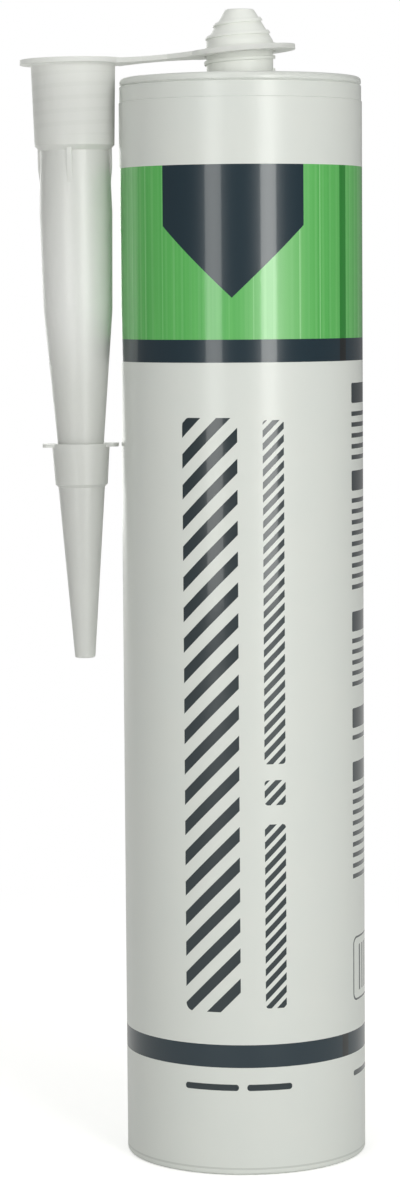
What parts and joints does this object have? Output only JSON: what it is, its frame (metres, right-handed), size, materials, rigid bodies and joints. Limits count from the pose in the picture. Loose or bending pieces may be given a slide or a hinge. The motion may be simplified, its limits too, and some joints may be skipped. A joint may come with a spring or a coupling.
{
  "type": "caulk tube",
  "caption": "Plastic caulk cartridge standing on its rear rim, with a plunger, its filling, and a tapered capped nozzle hanging from the neck by a strap.",
  "frame": {"origin": "centre of the barrel's open rear end, in the plane of the rear rim that the tube stands on", "axes": "+Z along the barrel from the rear rim to the neck, -X towards the hanging nozzle"},
  "size_m": [0.0702, 0.05, 0.237],
  "materials": {
    "barrel_plastic": "moulded white polyethylene with printed ink bands, satin gloss",
    "plunger_plastic": "moulded natural white polyethylene",
    "sealant_paste": "smooth wet white paste",
    "nozzle_plastic": "moulded milky translucent polyethylene"
  },
  "bodies": {
    "cartridge": {"cartridge": "barrel_plastic", "sealant": "sealant_paste"},
    "plunger": {"plunger": "plunger_plastic"},
    "nozzle": {"nozzle": "nozzle_plastic"},
    "cap": {"nozzle_cap": "nozzle_plastic"}
  },
  "joints": [
    {"name": "plunger_slide", "type": "slide", "parent": "cartridge", "child": "plunger", "axis": [0, 0, 1], "range_m": [0, 0.1815], "deforming": ["sealant"]},
    {"name": "nozzle_swing", "type": "hinge", "parent": "cartridge", "child": "nozzle", "pos_m": [0, 0, 0.2285], "axis": [0, 0, 1], "continuous": true},
    {"name": "cap_pull", "type": "slide", "parent": "nozzle", "child": "cap", "axis": [0.0105, 0, -0.9999], "range_m": [0, 0.043]}
  ]
}
